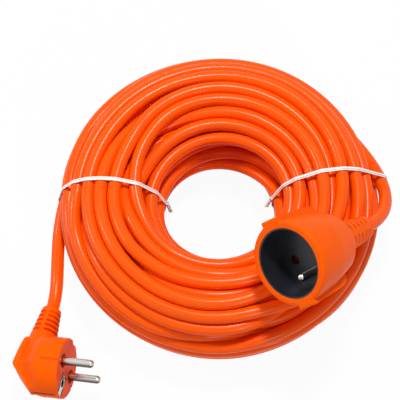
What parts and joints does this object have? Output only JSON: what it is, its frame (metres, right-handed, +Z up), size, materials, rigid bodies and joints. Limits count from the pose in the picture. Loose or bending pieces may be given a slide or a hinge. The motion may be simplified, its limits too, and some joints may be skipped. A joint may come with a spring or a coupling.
{
  "type": "extension cord",
  "caption": "Round coil of three-core mains cable held by two twist ties, with an angled earthed plug and a coupler socket that has a round recess, an earth pin and a spring shutter.",
  "frame": {"origin": "middle of the whole part's bounding box in X and Y, on the surface that it lies on", "axes": "+Z up, square to the coil that lies flat; the plug lies towards -X and -Y of the coil; the socket leans on the coil towards +X and -Y, with its mouth towards -X, -Y and +Z"},
  "size_m": [0.2316, 0.2176, 0.1255],
  "materials": {
    "cord_jacket": "glossy",
    "moulded_body": "satin",
    "tie": "satin",
    "black_insulator": "satin",
    "nickel": "polished",
    "contact_brass": "satin",
    "spring_steel": "satin",
    "shutter_red": "glossy",
    "core_brown": "glossy",
    "core_blue": "glossy",
    "core_green": "glossy"
  },
  "bodies": {
    "lead": {"coil_core": "cord_jacket", "coil_winding": "cord_jacket", "socket_lead": "cord_jacket", "plug_lead": "cord_jacket", "tie_left": "tie", "tie_right": "tie", "plug_body": "moulded_body", "plug_bridge": "black_insulator", "plug_pin_line": "nickel", "plug_pin_neutral": "nickel", "plug_earth_sleeve": "nickel", "plug_earth_clip": "nickel", "plug_wire_brown": "core_brown", "plug_wire_blue": "core_blue", "plug_wire_earth": "core_green", "plug_cord_tail": "cord_jacket", "socket_body": "moulded_body", "socket_liner": "black_insulator", "socket_carrier": "black_insulator", "socket_contact_line": "contact_brass", "socket_contact_neutral": "contact_brass", "socket_earth_pin": "nickel", "shutter_spring": "spring_steel", "socket_wire_brown": "core_brown", "socket_wire_blue": "core_blue", "socket_wire_earth": "core_green", "socket_cord_tail": "cord_jacket"},
    "shutter": {"socket_shutter": "shutter_red"}
  },
  "joints": [
    {"name": "shutter_slide", "type": "slide", "parent": "lead", "child": "shutter", "axis": [-0.413, 0.846, 0.3372], "range_m": [0, 0.006], "stiffness_N_per_m": 150, "springref_m": -0.004, "deforming": ["shutter_spring"]}
  ]
}
